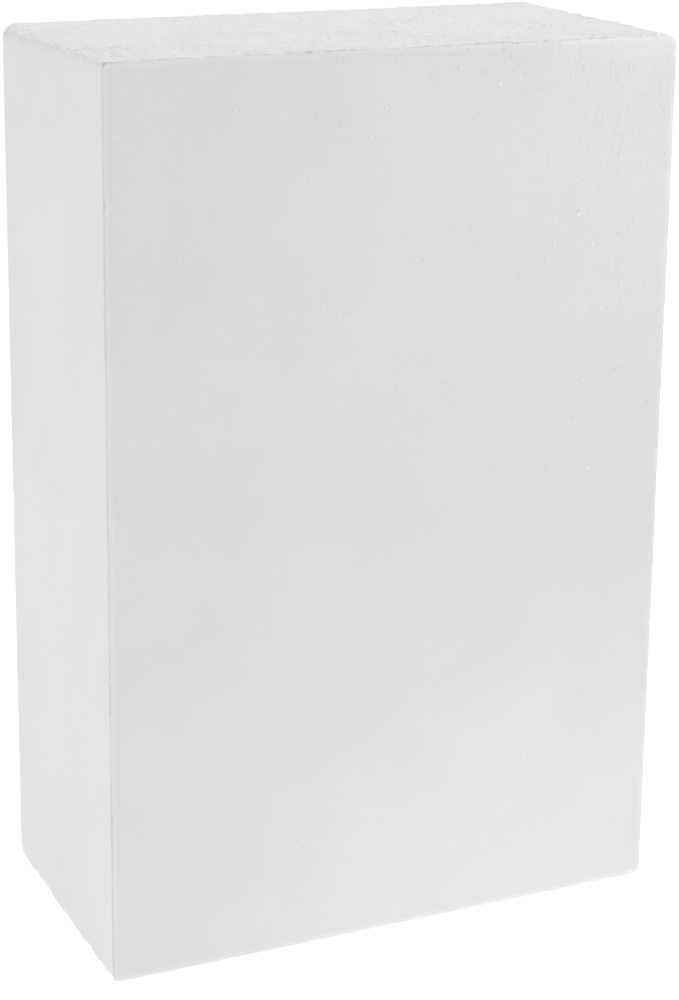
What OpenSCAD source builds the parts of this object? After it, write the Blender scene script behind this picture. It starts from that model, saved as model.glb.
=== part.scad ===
/* [Block] */
// Height of the block as it stands on end, its longest side
block_h = 302; // [100:1:600]
// Width of the two broad faces, front and back
block_w = 200; // [60:1:400]
// Depth from the front face to the back face
block_d = 100; // [30:1:200]

/* [Edges] */
// Radius of the four soft edges that run from the front face to the back face
corner_r = 3; // [1:0.5:12]
// Width of the fine break along the crisp edges round the front and back faces
edge_break = 0.4; // [0.2:0.1:1]

/* [Hidden] */
$fn = 64;
half_w = block_w / 2;
half_d = block_d / 2;

// The front outline in width and height, with its foot on the X axis:
// straight sides, and true arcs at the four corners.
module front_outline() {
    translate([-half_w + corner_r, 0])
        square([block_w - 2 * corner_r, block_h]);
    translate([-half_w, corner_r])
        square([block_w, block_h - 2 * corner_r]);
    for (side = [-1, 1])
        for (level = [corner_r, block_h - corner_r])
            translate([side * (half_w - corner_r), level])
                circle(r = corner_r);
}

// A depth by length rectangle, centred, with its four corners cut off at 45 degrees.
module broken_section(length) {
    x = half_d;
    y = length / 2;
    polygon([
        [-x + edge_break, -y], [x - edge_break, -y],
        [x, -y + edge_break], [x, y - edge_break],
        [x - edge_break, y], [-x + edge_break, y],
        [-x, y - edge_break], [-x, -y + edge_break]
    ]);
}

// The solid block, standing on one of its two small ends, with its front towards -Y.
// The outline runs straight through the depth, and the two broken sections,
// one seen from above and one from the side, trim the crisp edges.
module foam_block() {
    color([0.90, 0.90, 0.88])
        intersection() {
            translate([0, half_d, 0])
                rotate([90, 0, 0])
                    linear_extrude(height = block_d)
                        front_outline();
            rotate([0, 0, 90])
                linear_extrude(height = block_h)
                    broken_section(block_w);
            translate([-half_w, 0, block_h / 2])
                rotate([90, 0, 90])
                    linear_extrude(height = block_w)
                        broken_section(block_h);
        }
}

foam_block();
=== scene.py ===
"""A white floristry foam brick standing on end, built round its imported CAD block.

The block's skin is one closed mesh of quads: a grid over the six faces, drawn in
to the round depth edges and the finely broken crisp edges, then given the relief
of real foam. Everything is in metres, in the frame of the CAD model: X across the
broad front face, Y from front to back, Z up.
"""

import math

import bpy
import numpy as np
from mathutils import Matrix, Vector, kdtree, noise


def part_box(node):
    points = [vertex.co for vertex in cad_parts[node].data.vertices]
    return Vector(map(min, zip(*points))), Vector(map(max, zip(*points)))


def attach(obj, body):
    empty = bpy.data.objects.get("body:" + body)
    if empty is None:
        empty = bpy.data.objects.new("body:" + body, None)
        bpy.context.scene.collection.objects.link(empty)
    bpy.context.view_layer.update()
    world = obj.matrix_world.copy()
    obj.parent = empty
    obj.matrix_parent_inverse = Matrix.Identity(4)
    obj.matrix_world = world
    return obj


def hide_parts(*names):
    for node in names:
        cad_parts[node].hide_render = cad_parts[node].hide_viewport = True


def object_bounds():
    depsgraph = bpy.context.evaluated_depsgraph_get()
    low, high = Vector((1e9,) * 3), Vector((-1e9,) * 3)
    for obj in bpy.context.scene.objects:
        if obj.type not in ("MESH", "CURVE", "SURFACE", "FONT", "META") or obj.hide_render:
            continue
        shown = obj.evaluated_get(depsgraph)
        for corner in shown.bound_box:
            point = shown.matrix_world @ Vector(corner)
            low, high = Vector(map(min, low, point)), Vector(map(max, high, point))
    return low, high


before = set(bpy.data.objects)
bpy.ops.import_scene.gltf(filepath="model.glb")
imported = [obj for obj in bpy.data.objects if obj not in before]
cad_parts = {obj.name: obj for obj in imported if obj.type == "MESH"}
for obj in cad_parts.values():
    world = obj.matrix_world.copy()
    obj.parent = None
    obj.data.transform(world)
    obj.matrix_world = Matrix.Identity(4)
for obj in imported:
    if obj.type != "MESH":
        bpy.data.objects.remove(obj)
cad_lo, cad_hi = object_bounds()

MM = 0.001

# ---------------------------------------------------------------- the block's shape
NODE = "foam_block"
BLOCK_LO, BLOCK_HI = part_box(NODE)
SIZE = BLOCK_HI - BLOCK_LO
CENTRE = (BLOCK_LO + BLOCK_HI) / 2
BREAK = 0.4 * MM  # the fine break along the crisp edges of the broad faces
STEPS = (1.45, 1.45, 1.75)  # mm between grid lines along X, Y and Z, away from the edges
ZONE = 5.0 * MM  # how far in from a round edge its rounding can reach
ZONE_ROWS = (0.0, 0.4, 1.0, 1.8, 2.7, 3.8, 5.0)  # grid lines across a round edge, mm
DEPTH_ROWS = (0.0, 0.4, 1.1, 2.0, 3.1)  # grid lines behind a crisp edge, mm

# The radius in mm of each edge that runs from front to back, at its front and at its back.
# The model has 3 mm everywhere; real ones are pressed and rubbed, so they vary along the edge.
# The key is the edge's side: -1 left or 1 right, then -1 bottom or 1 top.
EDGE_RADII = {(-1, 1): (1.5, 4.4), (1, 1): (3.3, 3.0), (-1, -1): (2.0, 3.2), (1, -1): (2.6, 3.4)}
EDGE_RADIUS_LIMITS = (1.1, 4.7)  # mm

# Layers of smooth noise: the height in mm, the size of the features in mm, and a shift.
EDGE_WANDER = ((0.9, 17, 7.3), (0.5, 6, 3.1))  # added to an edge's radius
FLAT_UNEVENNESS = ((0.10, 75, 0.0), (0.045, 24, 9.0))  # of the flat faces
END_LUMPS = ((0.32, 4.2, 3.0), (0.12, 9, 5.0))  # the open cells of the two end faces


def grid_lines(length, rows, step):
    """Line positions from 0 to length, close together at both ends and even between."""
    near = np.array(rows) * MM
    middle = length - 2 * near[-1]
    even = np.linspace(near[-1], length - near[-1], round(middle / (step * MM)) + 1)
    return np.concatenate([near[:-1], even, (length - near[:-1])[::-1]])


def box_grid(xs, ys, zs):
    """The outside of a lattice: its points' indices along each axis, and its quads."""
    counts = (len(xs), len(ys), len(zs))
    index = np.indices(counts)
    outside = np.zeros(counts, bool)
    for axis, count in enumerate(counts):
        outside |= (index[axis] == 0) | (index[axis] == count - 1)
    ids = np.full(counts, -1)
    ids[outside] = np.arange(outside.sum())
    quads = []
    for axis in range(3):
        for end in (0, -1):
            sheet = np.take(ids, end, axis)
            corners = [sheet[:-1, :-1], sheet[1:, :-1], sheet[1:, 1:], sheet[:-1, 1:]]
            if (end == 0) != (axis == 1):
                corners.reverse()
            quads.append(np.stack([c.ravel() for c in corners], 1))
    return index[:, outside].T, np.concatenate(quads)


def sampled(points, size_mm, stretch=(1, 1, 1), shift=0.0):
    """Smooth noise from -1 to 1 at each point, with features about size_mm across."""
    scaled = points / (size_mm * MM) / np.array(stretch) + shift
    return np.array([noise.noise(Vector(p)) for p in scaled])


def layered(points, layers, shifts=1):
    """The sum of several layers of smooth noise, in mm, with their shifts multiplied."""
    return sum(height * sampled(points, size, shift=shift * shifts) for height, size, shift in layers)


def smooth(value, low, high):
    """0 below low, 1 above high, and a smooth rise between."""
    t = np.clip((value - low) / (high - low), 0, 1)
    return t * t * (3 - 2 * t)


def edge_radius(x, y, z):
    """The radius in mm, at each point's depth, of the round edge nearest to the point."""
    radius = np.zeros(len(x))
    share = (y + SIZE.y / 2) / SIZE.y
    for number, ((side_x, side_z), (front, back)) in enumerate(EDGE_RADII.items()):
        near = (np.sign(x) == side_x) & (np.sign(z) == side_z)
        along = np.zeros((near.sum(), 3))
        along[:, 1] = y[near]
        radius[near] = front + (back - front) * share[near] + layered(along, EDGE_WANDER, number)
    return np.clip(radius, *EDGE_RADIUS_LIMITS)


def round_outline(x, y, z):
    """Draws a grid in to the front outline's four round corners.

    Returns the new X and Z, the outward direction and the distance in from the outline.
    A rounded corner is the curve a^p + b^p = 1, whose power p stands for the edge's radius.
    """
    half_w, half_h = SIZE.x / 2, SIZE.z / 2
    a = (np.abs(x) - (half_w - ZONE)) / ZONE
    b = (np.abs(z) - (half_h - ZONE)) / ZONE
    ring = np.maximum(a, b)
    corner = (a > 0) & (b > 0)
    share_a = np.where(corner, a / np.where(corner, ring, 1), a >= b)
    share_b = np.where(corner, b / np.where(corner, ring, 1), b > a)
    diagonal_cut = (1 - math.sqrt(0.5)) * edge_radius(x, y, z) * MM / ZONE
    p = -1 / np.log2(1 - diagonal_cut)
    reach = ring / (share_a**p + share_b**p) ** (1 / p)
    new_x = np.where(corner, half_w - ZONE + ZONE * reach * share_a, np.abs(x))
    new_z = np.where(corner, half_h - ZONE + ZONE * reach * share_b, np.abs(z))
    out_a, out_b = share_a ** (p - 1), share_b ** (p - 1)
    length = np.hypot(out_a, out_b)
    sx, sz = np.sign(x), np.sign(z)
    return new_x * sx, new_z * sz, out_a / length * sx, out_b / length * sz, (1 - ring) * ZONE


def block_grid():
    """The bare block: points, outward directions, quads and how far in each point is.

    A point's inset is its distance in from the front outline, and 0 on the rim.
    """
    xs = grid_lines(SIZE.x, ZONE_ROWS, STEPS[0]) - SIZE.x / 2
    ys = grid_lines(SIZE.y, DEPTH_ROWS, STEPS[1]) - SIZE.y / 2
    zs = grid_lines(SIZE.z, ZONE_ROWS, STEPS[2]) - SIZE.z / 2
    index, quads = box_grid(xs, ys, zs)
    x, y, z = xs[index[:, 0]], ys[index[:, 1]], zs[index[:, 2]]
    x, z, out_x, out_z, inset = round_outline(x, y, z)
    on_rim = inset < BREAK / 4
    on_broad = np.abs(y) > SIZE.y / 2 - BREAK / 4
    sharp = on_rim & on_broad
    cut = BREAK * (1 - math.sqrt(0.5)) * sharp
    points = np.stack([x - cut * out_x, y - cut * np.sign(y), z - cut * out_z], 1)
    out = np.stack([out_x * on_rim, np.sign(y) * on_broad, out_z * on_rim], 1)
    out /= np.linalg.norm(out, axis=1, keepdims=True)
    return points, out, quads, inset


# ---------------------------------------------------------------- the foam's relief
SEED = 20

LIP_WIDTH = 1.8  # mm, the soft border of a broad face
PRESSED_HEIGHT = 10.0  # mm, how far down the pressed top right corner of the front reaches
PRESSED_ACROSS = (35, 82)  # mm right of the middle, where the pressing starts and where it is full
PRESSED_DEPTH = 0.7  # mm
FALL_EASE = 4.2  # mm behind a broad face, where its fall has died out
CRISP_SHARE = 0.6  # how much of the relief the crisp edges take

# Hollows scattered over the skin: how many, the range of their radii and of their depths, in mm.
SCATTERED = {
    "end_pits": (420, (1.8, 3.6), (0.12, 0.50)),
    "broad_pits": (90, (2.2, 4.0), (0.03, 0.11)),
    "side_pits": (30, (2.2, 4.0), (0.03, 0.10)),
    "dents": (26, (7, 16), (0.04, 0.13)),
    "nicks": (110, (1.2, 3.0), (0.05, 0.28)),
    "rubs": (60, (2.0, 5.0), (0.1, 0.5)),
}

# Chips out of the crisp front edges: place from the block's centre, radius and depth, in mm.
CHIPS = (
    ((-100, -50, 151), 2.4, 0.75),
    ((-96.5, -50, 151), 2.8, 0.50),
    ((-100, -50, 107), 1.9, 0.55),
    ((62, -50, 151), 2.2, 0.40),
    ((71, -50, 151), 2.6, 0.50),
    ((76, -50, 151), 1.8, 0.45),
    ((-100, -50, -93), 1.9, 0.35),
)


def faces(out):
    """How much each point belongs to the ends, to the broad faces and to the round edges."""
    up, back = np.abs(out[:, 2]), np.abs(out[:, 1])
    round_edge = smooth(np.minimum(np.abs(out[:, 0]), up), 0.0, 0.45)
    return smooth(up, 0.5, 0.95), smooth(back, 0.5, 0.95), round_edge


def on_crisp_edge(out):
    """Whether each point is on a crisp edge, where the skin faces half outwards and half to Y."""
    return (np.abs(out[:, 1]) > 0.6) & (np.abs(out[:, 1]) < 0.8)


def where(weight, points, height):
    """height(points there) times the weight, worked out only where there is any weight."""
    there = weight > 0
    result = np.zeros(len(points))
    result[there] = weight[there] * height(points[there])
    return result


def end_lumps(points):
    """The lumpy, open cell structure of the two end faces."""
    return layered(points, END_LUMPS)


def broad_ridges(points):
    """Faint upright ridges of the two broad faces."""
    return 0.03 * sampled(points, 5.5, stretch=(1, 1, 7), shift=13.0)


def edge_lumps(points):
    """Small uneven lumps along the round edges, which are soft and easily pressed."""
    return 0.30 * sampled(points, 5.0, shift=21.0) - 0.08


def pressed_corner(points, power):
    """How pressed the front is by its top right corner, from 0 to 1; power sharpens the fade down."""
    from_top = np.clip(1 - (SIZE.z / 2 - points[:, 2]) / (PRESSED_HEIGHT * MM), 0, 1)
    across = smooth(points[:, 0] / MM, *PRESSED_ACROSS)
    return from_top**power * across * (points[:, 1] < 0)


def rim_fall(points, inset):
    """How far, in mm, a broad face falls back towards its outline, most by a pressed top corner.

    The sides follow it over the first few millimetres behind the face.
    """
    lip = np.clip(1 - inset / (LIP_WIDTH * MM), 0, 1) ** 2
    lip *= 0.16 + 0.08 * sampled(points, 9, shift=4.0)
    pressed = PRESSED_DEPTH * pressed_corner(points, 2)
    behind = SIZE.y / 2 - np.abs(points[:, 1])
    return (lip + pressed) * np.clip(1 - behind / (FALL_EASE * MM), 0, 1)


def sunk(tree, points, places, radii, depths):
    """Round hollows pressed into the skin: a depth in mm at each point."""
    hollow = np.zeros(len(points))
    for place, radius, depth in zip(places, radii, depths):
        for _, i, away in tree.find_range(Vector(place), radius * MM):
            share = 1 - (away / (radius * MM)) ** 2
            hollow[i] = max(hollow[i], depth * share * share)
    return hollow


def picked(points, chosen, random, count):
    """Places picked at random from the chosen points."""
    return points[random.choice(np.flatnonzero(chosen), count, replace=False)]


def hollows(points, out):
    """How deep the scattered hollows and the chosen chips are at each point, in mm."""
    random = np.random.default_rng(SEED)
    tree = kdtree.KDTree(len(points))
    for i, point in enumerate(points):
        tree.insert(Vector(point), i)
    tree.balance()
    flat = np.abs(out) > 0.99
    found_on = {
        "end_pits": flat[:, 2],
        "broad_pits": flat[:, 1],
        "side_pits": flat[:, 0],
        "dents": flat[:, 1] | flat[:, 0],
        "nicks": on_crisp_edge(out),
        "rubs": (np.abs(out[:, 0]) > 0.3) & (np.abs(out[:, 2]) > 0.3),
    }
    places = {}
    for kind, (count, _, _) in SCATTERED.items():
        places[kind] = picked(points, found_on[kind], random, count)
    depth = np.zeros(len(points))
    for kind, (count, radius_range, depth_range) in SCATTERED.items():
        radii = random.uniform(*radius_range, count)
        depths = random.uniform(*depth_range, count)
        depth += sunk(tree, points, places[kind], radii, depths)
    chip_places, chip_radii, chip_depths = zip(*CHIPS)
    return depth + sunk(tree, points, np.array(chip_places) * MM, chip_radii, chip_depths)


def relief(points, out):
    """How far each point stands out, in mm."""
    end, broad, round_edge = faces(out)
    height = layered(points, FLAT_UNEVENNESS) - hollows(points, out)
    height += where(end, points, end_lumps)
    height += where(broad, points, broad_ridges)
    height += where(round_edge, points, edge_lumps)
    return height * np.where(on_crisp_edge(out), CRISP_SHARE, 1.0)


# ---------------------------------------------------------------- the skin's painted edge shade, painted highlights and coarseness
SHELTERED_EDGE_SHADE = 0.06  # the painted shade of the crisp edges at the right and the bottom, against the others
# the painted shade of the round edges
ROUND_EDGE_SHADE = 0.09


def near_crisp_edge(points, inset):
    """1 on the crisp edges, falling to 0 within a millimetre of them."""
    behind = SIZE.y / 2 - np.abs(points[:, 1])
    return np.interp((inset + behind) / MM, (0.0, 0.2, 0.4, 1.0), (1.0, 1.0, 0.6, 0.0))


def chip_shade(points):
    """How much painted shade each point takes at a chip in a crisp edge, from 0 to 1."""
    notch_shade = np.zeros(len(points))
    for place, radius, depth in CHIPS:
        away = np.linalg.norm(points - np.array(place) * MM, axis=1) / (radius * MM)
        notch_shade = np.maximum(notch_shade, 1.3 * depth * np.clip(1.4 - away, 0, 1))
    return notch_shade


def top_edge_shade(points):
    """The painted shade along the front's top edge, which grows to the right and stops at the corner."""
    x = points[:, 0] / MM
    rubbed = smooth(x, -10, 70) * (1 - smooth(x, 90, 97))
    rubbed *= (points[:, 1] < 0) & (points[:, 2] > SIZE.z / 2 - 2 * MM)
    return rubbed * (0.42 + 0.30 * sampled(points, 7, shift=19.0))


def painted_edge_shade(points, out, inset):
    """How much painted shade the skin takes, from 0 to 1: along the crisp edges, at the chips and along the
    round ones.

    The left edges and the top ones take the most painted shade; it stands in for the shade of the broken
    edges.
    """
    shade_facing = np.maximum(smooth(out[:, 2], 0.2, 0.6), smooth(-out[:, 0], 0.2, 0.6))
    shade_facing *= 1 - smooth(points[:, 0] / MM, 84, 93)
    line = on_crisp_edge(out) * np.clip(0.50 + 0.36 * sampled(points, 16, shift=6.0), 0.2, 0.75)
    line *= SHELTERED_EDGE_SHADE + (1 - SHELTERED_EDGE_SHADE) * shade_facing
    notch_shade = near_crisp_edge(points, inset) * np.maximum(chip_shade(points), top_edge_shade(points))
    _, _, round_edge = faces(out)
    return np.clip(np.maximum(np.maximum(line, notch_shade), ROUND_EDGE_SHADE * round_edge), 0, 1)


def rim_and_corner_highlight(points, out, inset):
    """The painted highlight along the border of a broad face and at the pressed top right corner of the
    front, from 0 to 1.
    """
    broad = np.abs(out[:, 1]) > 0.99
    border = np.interp(inset / MM, (0.0, 0.4, 1.0, 1.8, 2.7), (0.0, 0.7, 1.0, 0.3, 0.0))
    border *= 0.55 + 0.35 * sampled(points, 14, shift=11.0)
    corner = 0.7 * pressed_corner(points, 1) * (inset > 0)
    return np.clip(broad * (border + corner), 0, 1)


def coarseness(points, out):
    """How open the foam's cells are, from 0 to 1: most on the ends, least low on the front."""
    end, _, round_edge = faces(out)
    height = points[:, 2] / SIZE.z + 0.5
    rightness = points[:, 0] / SIZE.x + 0.5
    flat = 0.15 + 0.50 * smooth(0.55 * height + 0.45 * rightness, 0.45, 0.95)
    flat += 0.10 * sampled(points, 38, shift=17.0)
    ends = 0.88 - 0.12 * smooth(points[:, 1] / SIZE.y, -0.2, 0.45) + 0.12 * sampled(points, 26, shift=8.0)
    return np.clip(np.maximum(flat * (1 - end) + ends * end, 0.7 * round_edge), 0.05, 1)


# ---------------------------------------------------------------- shader helpers
class Shader:
    """Adds nodes to one material or world, so that its looks read as plain sums."""

    def __init__(self, tree):
        self.tree = tree
        tree.nodes.clear()

    def add(self, kind, **settings):
        node = self.tree.nodes.new(kind)
        for name, value in settings.items():
            setattr(node, name, value)
        return node

    def put(self, value, socket):
        if isinstance(value, bpy.types.NodeSocket):
            self.tree.links.new(value, socket)
        else:
            socket.default_value = value

    def maths(self, operation, *values, clamp=False):
        node = self.add("ShaderNodeMath", operation=operation, use_clamp=clamp)
        for value, socket in zip(values, node.inputs):
            self.put(value, socket)
        return node.outputs[0]

    def chain(self, operation, terms):
        """One sum or product of several sockets or numbers."""
        result = terms[0]
        for term in terms[1:]:
            result = self.maths(operation, result, term)
        return result

    def total(self, *terms):
        return self.chain("ADD", terms)

    def product(self, *terms):
        return self.chain("MULTIPLY", terms)

    def rising(self, value, base_and_rise):
        """A base plus the value times a rise."""
        base, rise = base_and_rise
        return self.maths("MULTIPLY_ADD", value, rise, base)

    def attribute(self, name):
        """A value stored on the mesh's points."""
        return self.add("ShaderNodeAttribute", attribute_name=name).outputs["Fac"]

    def scaled(self, vector, factor):
        node = self.add("ShaderNodeVectorMath", operation="SCALE")
        self.put(vector, node.inputs[0])
        self.put(factor, node.inputs["Scale"])
        return node.outputs[0]

    def vector(self, operation, *values):
        node = self.add("ShaderNodeVectorMath", operation=operation)
        for value, socket in zip(values, node.inputs):
            self.put(value, socket)
        return node.outputs[0]

    def ramp(self, value, low, high, bottom=0.0, top=1.0):
        """A smooth rise from bottom at low to top at high."""
        node = self.add("ShaderNodeMapRange", interpolation_type="SMOOTHSTEP")
        for given, socket in zip((value, low, high, bottom, top), node.inputs):
            self.put(given, socket)
        return node.outputs[0]

    def noise(self, place, size, detail=2.0):
        """Noise from 0 to 1 with features about size across."""
        node = self.add("ShaderNodeTexNoise")
        self.put(place, node.inputs["Vector"])
        self.put(1 / size, node.inputs["Scale"])
        self.put(detail, node.inputs["Detail"])
        return node.outputs["Fac"]

    def noise_vector(self, place, size):
        """Three noises at once, each from about -0.5 to 0.5, to bend a place with."""
        node = self.add("ShaderNodeTexNoise")
        self.put(place, node.inputs["Vector"])
        self.put(1 / size, node.inputs["Scale"])
        return self.vector("SUBTRACT", node.outputs["Color"], (0.5, 0.5, 0.5))

    def cells(self, place, size, feature="F1"):
        """A Voronoi node whose cells are about size across."""
        node = self.add("ShaderNodeTexVoronoi", feature=feature)
        self.put(place, node.inputs["Vector"])
        self.put(1 / size, node.inputs["Scale"])
        return node

    def blend(self, factor, a, b):
        node = self.add("ShaderNodeMix", data_type="RGBA")
        self.put(factor, node.inputs["Factor"])
        self.put(a, node.inputs["A"])
        self.put(b, node.inputs["B"])
        return node.outputs["Result"]


def new_material(name):
    """An empty material, and the Shader that fills it."""
    material = bpy.data.materials.new(name)
    material.use_nodes = True
    return material, Shader(material.node_tree)


def placed_object(name, data):
    """A new object in the scene."""
    item = bpy.data.objects.new(name, data)
    bpy.context.scene.collection.objects.link(item)
    return item


# ---------------------------------------------------------------- the foam's material
FOAM = (0.863, 0.861, 0.845, 1)
FOAM_SHADE = (0.80, 0.80, 0.78, 1)
# the colour of the painted highlights on the raised specks, along the broad faces' borders and at the
# pressed corner
HIGHLIGHT_COLOUR = (0.93, 0.93, 0.915, 1)
# the colour of the painted shade along the edges, at the chips and in the dimples
PAINTED_SHADE_COLOUR = (0.50, 0.50, 0.485, 1)

# The material works in mm. These are its finest shapes' heights where the cells are fully open.
SEAM_HEIGHT = 0.10  # the cells' middles above their seams
GRIT_HEIGHT = 0.28
KNOB_HEIGHT = 0.58
STREAK_HEIGHT = 0.17
FINE_HEIGHT = (0.004, 0.036)  # the height on closed skin, and what open cells add
SPECK_HEIGHT = (0.05, 0.38)
# the painted highlight on the raised specks on closed skin, and what open cells add
SPECK_HIGHLIGHT = (0.22, 1.20)

SPECK_CELL = 3.7  # mm, the spacing of the specks
SPECK_SHARE = 0.72  # of the cells that hold one
SPECK_SQUASH = (1.0, 1.0, 0.66)  # stretches the specks upright
STREAK_SQUASH = (1.0, 1.0, 0.34)
BEND = 1.6  # mm, twice the most that a place is pushed about along each axis
ROUGHNESS = (0.74, 0.90)


def specks(s, place):
    """Sparse small bumps and dimples of mixed sizes, with a height from -0.6 to 1."""
    upright = s.vector("MULTIPLY", bent_place(s, place), SPECK_SQUASH)
    cell = s.cells(upright, SPECK_CELL)
    chance = s.add("ShaderNodeSeparateColor")
    s.put(cell.outputs["Color"], chance.inputs[0])
    radius = s.maths("MULTIPLY_ADD", chance.outputs[1], 0.22, 0.12)
    body = s.ramp(s.maths("DIVIDE", cell.outputs["Distance"], radius), 1.0, 0.1)
    chosen = s.maths("LESS_THAN", chance.outputs[0], SPECK_SHARE)
    side = s.ramp(chance.outputs[2], 0.28, 0.32, -0.60, 1.0)
    return s.product(body, chosen, side)


def bent_place(s, place):
    """The place pushed about by up to a millimetre, so that nothing is quite round."""
    return s.vector("ADD", place, s.scaled(s.noise_vector(place, 1.5), BEND))


def highs_and_lows(s, place, size, quiet):
    """Noise with a flat middle, so that only its highs and lows stand out, from -1 to 1."""
    level = s.noise(place, size, 2.0)
    high = s.ramp(level, 0.5 + quiet, 0.68 + quiet)
    low = s.ramp(level, 0.5 - quiet, 0.32 - quiet)
    return s.maths("SUBTRACT", high, low)


def foam_height(s, place, broad, coarse, speck):
    """The height in mm of the foam's cells, streaks and specks above its skin."""
    fine = s.noise(place, 0.55, 3.0)
    grit = highs_and_lows(s, place, 1.9, 0.02)
    knobs = highs_and_lows(s, place, 3.4, 0.05)
    seam = s.ramp(s.cells(place, 1.9, "DISTANCE_TO_EDGE").outputs["Distance"], 0.0, 0.16)
    upright = s.vector("MULTIPLY", bent_place(s, place), STREAK_SQUASH)
    streak = highs_and_lows(s, upright, 1.5, 0.08)
    patch = s.ramp(s.noise(place, 11.0, 2.0), 0.38, 0.64, 0.25, 1.0)

    open_cells = s.maths("POWER", coarse, 3.0)
    return s.total(
        s.product(seam, open_cells, SEAM_HEIGHT),
        s.product(grit, open_cells, GRIT_HEIGHT),
        s.product(knobs, open_cells, KNOB_HEIGHT),
        s.product(fine, s.rising(coarse, FINE_HEIGHT)),
        s.product(streak, patch, broad, coarse, STREAK_HEIGHT),
        s.product(speck, s.rising(coarse, SPECK_HEIGHT)),
    )


def foam_colour(s, place, coarse, speck):
    """White foam with faint clouds and grain, painted highlights on the raised specks, the broad faces'
    borders and the pressed corner, and painted shade in the dimples, along the edges and at the chips.
    """
    cloud = s.ramp(s.noise(place, 42.0, 3.0), 0.35, 0.65)
    grain = s.ramp(s.noise(place, 1.1, 2.0), 0.42, 0.62)
    colour = s.blend(s.maths("MULTIPLY", cloud, 0.25), FOAM, FOAM_SHADE)
    colour = s.blend(s.product(grain, coarse, 0.25), colour, FOAM_SHADE)
    # painted highlights on the raised specks, plus the painted highlight stored on the mesh
    painted_highlight = s.product(s.ramp(speck, 0.05, 0.75), s.rising(coarse, SPECK_HIGHLIGHT))
    painted_highlight = s.maths("ADD", painted_highlight, s.attribute("painted_highlight"), clamp=True)
    colour = s.blend(painted_highlight, colour, HIGHLIGHT_COLOUR)
    # painted shade in the dimples
    sunk = s.product(s.ramp(speck, -0.05, -0.6), coarse, 0.08)
    colour = s.blend(sunk, colour, PAINTED_SHADE_COLOUR)
    # painted shade along the edges and at the chips, in patches
    patchy = s.ramp(s.noise(place, 2.4, 3.0), 0.36, 0.62, 0.5, 1.0)
    return s.blend(s.product(s.attribute("edge_shade"), patchy), colour, PAINTED_SHADE_COLOUR)


def foam_material():
    """Matt white foam: fine closed cells, coarser and open on the end faces."""
    material, s = new_material("white_foam")
    place = s.scaled(s.add("ShaderNodeTexCoord").outputs["Object"], 1 / MM)
    facing = s.add("ShaderNodeSeparateXYZ")
    s.put(s.add("ShaderNodeTexCoord").outputs["Normal"], facing.inputs[0])
    broad = s.ramp(s.maths("ABSOLUTE", facing.outputs["Y"]), 0.45, 0.9)
    coarse = s.attribute("coarse")
    speck = specks(s, place)

    bump = s.add("ShaderNodeBump")
    s.put(foam_height(s, place, broad, coarse, speck), bump.inputs["Height"])
    bump.inputs["Distance"].default_value = MM
    skin = s.add("ShaderNodeBsdfPrincipled")
    s.put(foam_colour(s, place, coarse, speck), skin.inputs["Base Color"])
    s.put(s.ramp(s.noise(place, 1.6, 2.0), 0.3, 0.7, *ROUGHNESS), skin.inputs["Roughness"])
    skin.inputs["Specular IOR Level"].default_value = 0.35
    s.put(bump.outputs[0], skin.inputs["Normal"])
    s.put(skin.outputs[0], s.add("ShaderNodeOutputMaterial").inputs["Surface"])
    return material


def make_block():
    """The foam block's one closed skin."""
    points, out, quads, inset = block_grid()
    placed = points + out * (relief(points, out) * MM)[:, None] + np.array(CENTRE)
    placed[:, 1] -= np.sign(points[:, 1]) * rim_fall(points, inset) * MM
    placed[:, 2] = np.maximum(placed[:, 2], BLOCK_LO.z)
    mesh = bpy.data.meshes.new("foam_brick")
    mesh.from_pydata(placed.tolist(), [], quads.tolist())
    # painted shade along the edges and chips, painted highlights along the broad faces' borders and at the
    # pressed corner, and how open the cells are
    looks = {
        "edge_shade": painted_edge_shade(points, out, inset),
        "painted_highlight": rim_and_corner_highlight(points, out, inset),
        "coarse": coarseness(points, out),
    }
    for name, values in looks.items():
        mesh.attributes.new(name, "FLOAT", "POINT").data.foreach_set("value", values)
    mesh.polygons.foreach_set("use_smooth", np.ones(len(mesh.polygons), bool))
    mesh.materials.append(foam_material())
    mesh.update()
    block = placed_object("foam_brick", mesh)
    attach(block, "root")
    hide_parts(NODE)


# ---------------------------------------------------------------- stage, light, camera
WHITE = (1, 1, 1, 1)
FLOOR_HALF = 2.5
FLOOR_DROP = 0.05 * MM  # below the block, so that the two never share a plane
FLOOR_GLOW = 0.94
FLOOR_ALBEDO = 0.40
WORLD_LIGHT = 0.10  # how brightly the surround lights the block; the camera sees it at 1

# Where each stands and aims, from the block's centre, its size, its watts and its spread in degrees.
LIGHTS = {
    "overhead": ((0.13, -0.05, 1.6), (0, 0, 0), 1.2, 20.1, 180),
    "left_box": ((-1.05, 0.02, 0.38), (0, 0, 0), 0.9, 3.4, 180),
    "front_box": ((-0.05, -1.5, 0.35), (0, -0.05, 0), 0.9, 0.65, 180),
    "right_box": ((0.60, -0.52, 0.34), (0.09, -0.05, 0.12), 0.35, 1.2, 180),
    "upper_right": ((0.45, -0.75, 0.20), (0.10, -0.05, 0.135), 0.10, 0.0065, 20),
    "low_right": ((0.35, -0.75, -0.05), (0.04, -0.05, -0.16), 0.10, 0.0085, 20),
}


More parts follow.
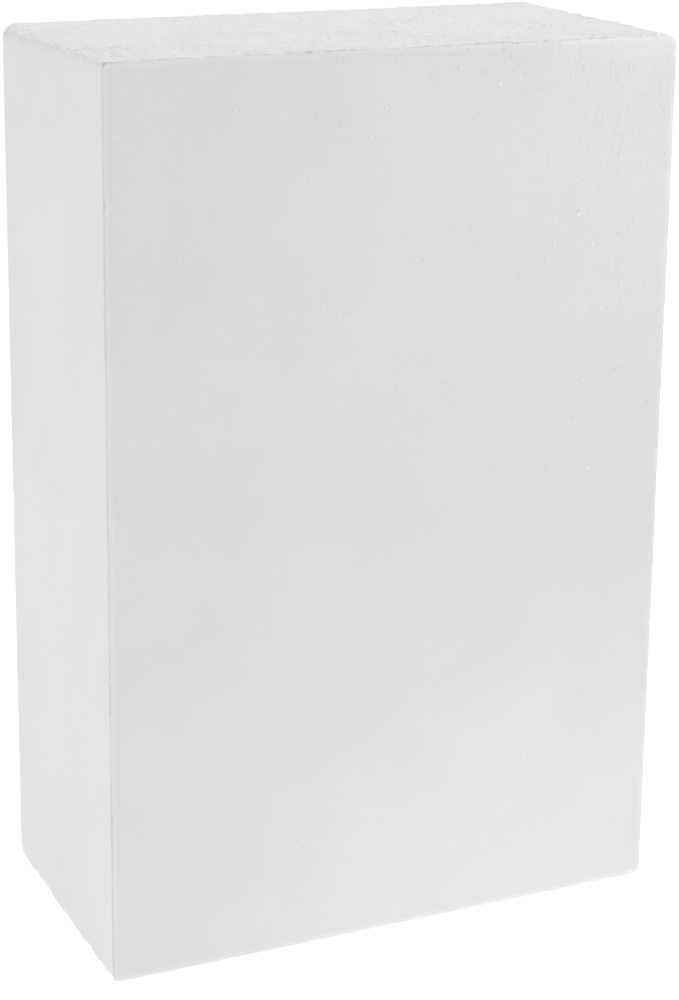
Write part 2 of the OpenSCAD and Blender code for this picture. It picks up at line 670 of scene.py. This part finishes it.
def floor_material():
    """A matt white surface that also glows, so that shadows on it stay faint."""
    material, s = new_material("floor_white")
    matt = s.add("ShaderNodeBsdfDiffuse")
    matt.inputs["Color"].default_value = (FLOOR_ALBEDO, FLOOR_ALBEDO, FLOOR_ALBEDO, 1)
    glow = s.add("ShaderNodeEmission")
    glow.inputs["Color"].default_value = WHITE
    glow.inputs["Strength"].default_value = FLOOR_GLOW
    both = s.add("ShaderNodeAddShader")
    s.put(matt.outputs[0], both.inputs[0])
    s.put(glow.outputs[0], both.inputs[1])
    s.put(both.outputs[0], s.add("ShaderNodeOutputMaterial").inputs["Surface"])
    return material


def make_floor():
    """A plain white floor just under the block."""
    z = cad_lo.z - FLOOR_DROP
    corners = [(-1, -1), (1, -1), (1, 1), (-1, 1)]
    mesh = bpy.data.meshes.new("floor")
    mesh.from_pydata([(x * FLOOR_HALF, y * FLOOR_HALF, z) for x, y in corners], [], [(0, 1, 2, 3)])
    mesh.materials.append(floor_material())
    floor = placed_object("floor", mesh)


def make_world():
    """An even white surround that lights the block more softly than it shows."""
    world = bpy.data.worlds.new("studio")
    world.use_nodes = True
    bpy.context.scene.world = world
    s = Shader(world.node_tree)
    surround = s.add("ShaderNodeBackground")
    surround.inputs["Color"].default_value = WHITE
    seen = s.add("ShaderNodeLightPath").outputs["Is Camera Ray"]
    s.put(s.maths("MULTIPLY_ADD", seen, 1.0 - WORLD_LIGHT, WORLD_LIGHT), surround.inputs["Strength"])
    s.put(surround.outputs[0], s.add("ShaderNodeOutputWorld").inputs["Surface"])


def aimed(location, target):
    """The rotation that turns a lamp's or camera's -Z from location towards target."""
    return (Vector(target) - Vector(location)).to_track_quat("-Z", "Y")


def make_lights():
    """Soft boxes overhead and round the block, and two faint narrow ones at its right."""
    for name, (stand, aim, size, watts, spread) in LIGHTS.items():
        light = bpy.data.lights.new(name, "AREA")
        light.size = size
        light.energy = watts
        light.spread = math.radians(spread)
        lamp = placed_object(name, light)
        lamp.location = CENTRE + Vector(stand)
        lamp.rotation_mode = "QUATERNION"
        lamp.rotation_quaternion = aimed(stand, aim)
        lamp.visible_camera = False


CAMERA_AZIMUTH = -24.8  # degrees; the camera stands to the block's left
CAMERA_HEIGHT = 14.5  # degrees above the block's middle
CAMERA_AWAY = 0.839  # from the block's middle
CAMERA_ROLL = 0.67  # degrees
CAMERA_RAISED = 0.040  # how far it is slid up, square to its view
CAMERA_RIGHT = 0.0016  # how far it is slid to the right
CAMERA_LENS = 87.3  # mm
CAMERA_SHIFT = -0.15  # makes the upright edges converge less


def make_camera():
    """A long lens looking down a little at the front and left faces."""
    azimuth, height = math.radians(CAMERA_AZIMUTH), math.radians(CAMERA_HEIGHT)
    flat = math.cos(height)
    back = Vector((math.sin(azimuth) * flat, -math.cos(azimuth) * flat, math.sin(height)))
    facing = (-back).to_track_quat("-Z", "Y")
    data = bpy.data.cameras.new("camera")
    data.lens = CAMERA_LENS
    data.shift_y = CAMERA_SHIFT
    data.clip_end = 20
    camera = placed_object("camera", data)
    slid = facing @ Vector((CAMERA_RIGHT, CAMERA_RAISED, 0))
    camera.location = CENTRE + back * CAMERA_AWAY + slid
    camera.rotation_mode = "QUATERNION"
    camera.rotation_quaternion = facing @ Matrix.Rotation(math.radians(CAMERA_ROLL), 3, "Z").to_quaternion()
    bpy.context.scene.camera = camera


make_camera()
make_block()
make_floor()
make_world()
make_lights()
bpy.context.scene.view_settings.view_transform = "Standard"
